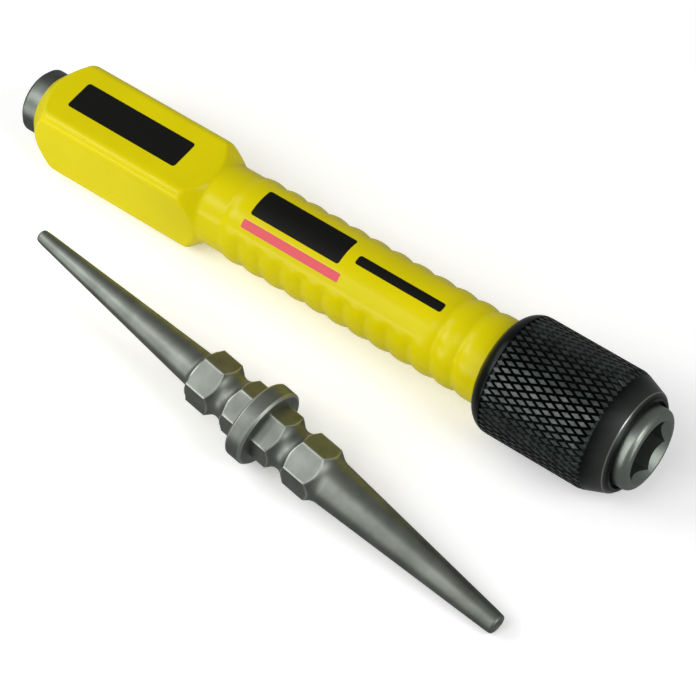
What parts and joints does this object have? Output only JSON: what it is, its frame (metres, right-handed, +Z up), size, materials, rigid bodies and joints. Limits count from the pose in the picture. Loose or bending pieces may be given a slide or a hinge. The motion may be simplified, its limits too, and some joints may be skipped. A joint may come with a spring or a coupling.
{
  "type": "nail setter",
  "caption": "Nail setter with a square-headed ribbed grip on a steel striking rod, a sprung locking collar and a double-ended hexagonal punch beside it.",
  "frame": {"origin": "centre of the struck face at the rear of the steel core", "axes": "+X along the tool towards the nose, +Z up out of the face of the square head that is uppermost, +Y away from the loose punch"},
  "size_m": [0.1128, 0.0424, 0.0194],
  "materials": {
    "core_steel": "turned, darkly oiled",
    "grip_plastic": "moulded, smooth satin gloss",
    "black_steel": "black oxide, satin",
    "spring_steel": "drawn, bright",
    "ball_steel": "polished",
    "punch_steel": "turned and milled, satin"
  },
  "bodies": {
    "handle": {"steel_core": "core_steel", "grip": "grip_plastic", "spring_washer": "spring_steel", "snap_ring": "spring_steel", "release_spring": "spring_steel"},
    "collar": {"locking_collar": "black_steel"},
    "ball": {"locking_ball": "ball_steel"},
    "punch": {"double_ended_punch": "punch_steel"}
  },
  "joints": [
    {"name": "collar_slide", "type": "slide", "parent": "handle", "child": "collar", "axis": [-1, 0, 0], "range_m": [0, 0.0025], "stiffness_N_per_m": 800, "springref_m": -0.003, "deforming": ["release_spring"]},
    {"name": "ball_slide", "type": "slide", "parent": "handle", "child": "ball", "axis": [0, 1, 0], "range_m": [0, 0.00045]},
    {"name": "punch_lift", "type": "slide", "parent": "handle", "child": "punch", "axis": [0, 0, 1], "range_m": [0, 0.03]}
  ],
  "couplings": [
    {"joint": "ball_slide", "follows": "collar_slide", "ratio": 0.18}
  ]
}
